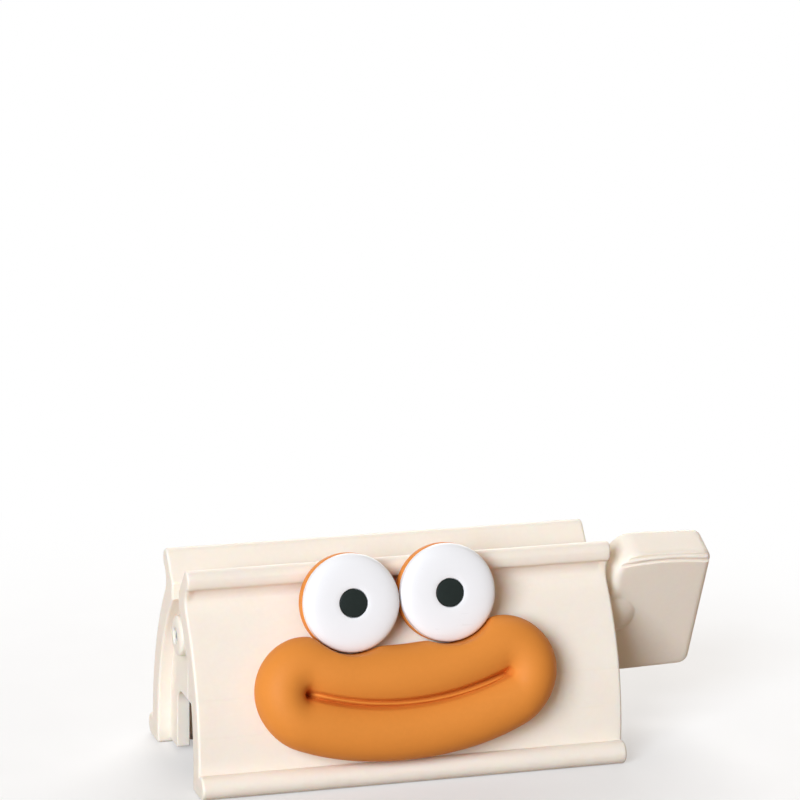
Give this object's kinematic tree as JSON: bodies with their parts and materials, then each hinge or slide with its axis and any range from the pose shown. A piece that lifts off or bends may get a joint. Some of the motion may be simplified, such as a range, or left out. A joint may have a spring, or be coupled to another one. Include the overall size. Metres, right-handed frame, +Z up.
{
  "type": "toothpaste tube squeezer",
  "caption": "Free-standing toothpaste tube squeezer: two sloping shells with a smiling face, and a slotted roller turned by a paddle knob.",
  "frame": {"origin": "middle of the flat underside of the front foot, half-way along the body", "axes": "+Z up; +X along the roller towards the knob; -Y out of the face, +Y towards the back"},
  "size_m": [0.1253, 0.0576, 0.0532],
  "materials": {
    "ivory_plastic": "satin moulded, ivory cream",
    "caramel_plastic": "soft satin, caramel orange",
    "white_plastic": "semi-gloss white",
    "black_plastic": "semi-gloss near-black",
    "natural_acetal": "natural white, machined-smooth",
    "steel": "zinc-plated screw"
  },
  "bodies": {
    "stand": {"front_shell": "ivory_plastic", "rear_shell": "ivory_plastic", "mouth": "caramel_plastic", "left_eye_base": "caramel_plastic", "right_eye_base": "caramel_plastic", "left_eye_white": "white_plastic", "right_eye_white": "white_plastic", "left_pupil": "black_plastic", "right_pupil": "black_plastic", "left_bush": "natural_acetal", "right_bush": "natural_acetal", "left_mouth_screw": "steel", "right_mouth_screw": "steel", "lower_left_shell_screw": "steel", "lower_right_shell_screw": "steel", "upper_left_shell_screw": "steel", "upper_right_shell_screw": "steel"},
    "roller": {"roller_shaft": "natural_acetal", "end_cap": "ivory_plastic", "end_cap_screw": "steel", "knob_washer": "natural_acetal", "winding_knob": "ivory_plastic"}
  },
  "joints": [
    {"name": "roller_turn", "type": "hinge", "parent": "stand", "child": "roller", "pos_m": [0, 0.02003, 0.0311], "axis": [1, 0, 0], "continuous": true}
  ]
}
